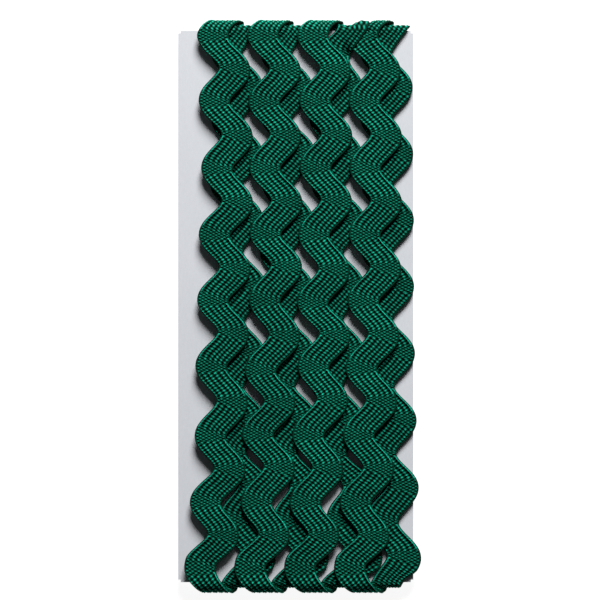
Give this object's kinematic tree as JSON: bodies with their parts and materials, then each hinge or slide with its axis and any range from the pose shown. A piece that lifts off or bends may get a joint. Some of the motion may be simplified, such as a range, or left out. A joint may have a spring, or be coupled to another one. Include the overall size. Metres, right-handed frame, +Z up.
{
  "type": "roll of ric rac on a card",
  "caption": "Green crimped flat braid wound lengthwise in layers round a flat rectangle of white card, lying on its back.",
  "frame": {"origin": "centre of the wound card's footprint, on the surface that it lies on", "axes": "+X across the card to the right, +Y along the card to its top edge, +Z up out of the front"},
  "size_m": [0.0584, 0.138, 0.0054],
  "materials": {
    "braid": "woven polyester yarn with a soft sheen",
    "card": "uncoated white board"
  },
  "bodies": {
    "root": {"ric_rac": "braid", "card": "card"}
  },
  "joints": []
}
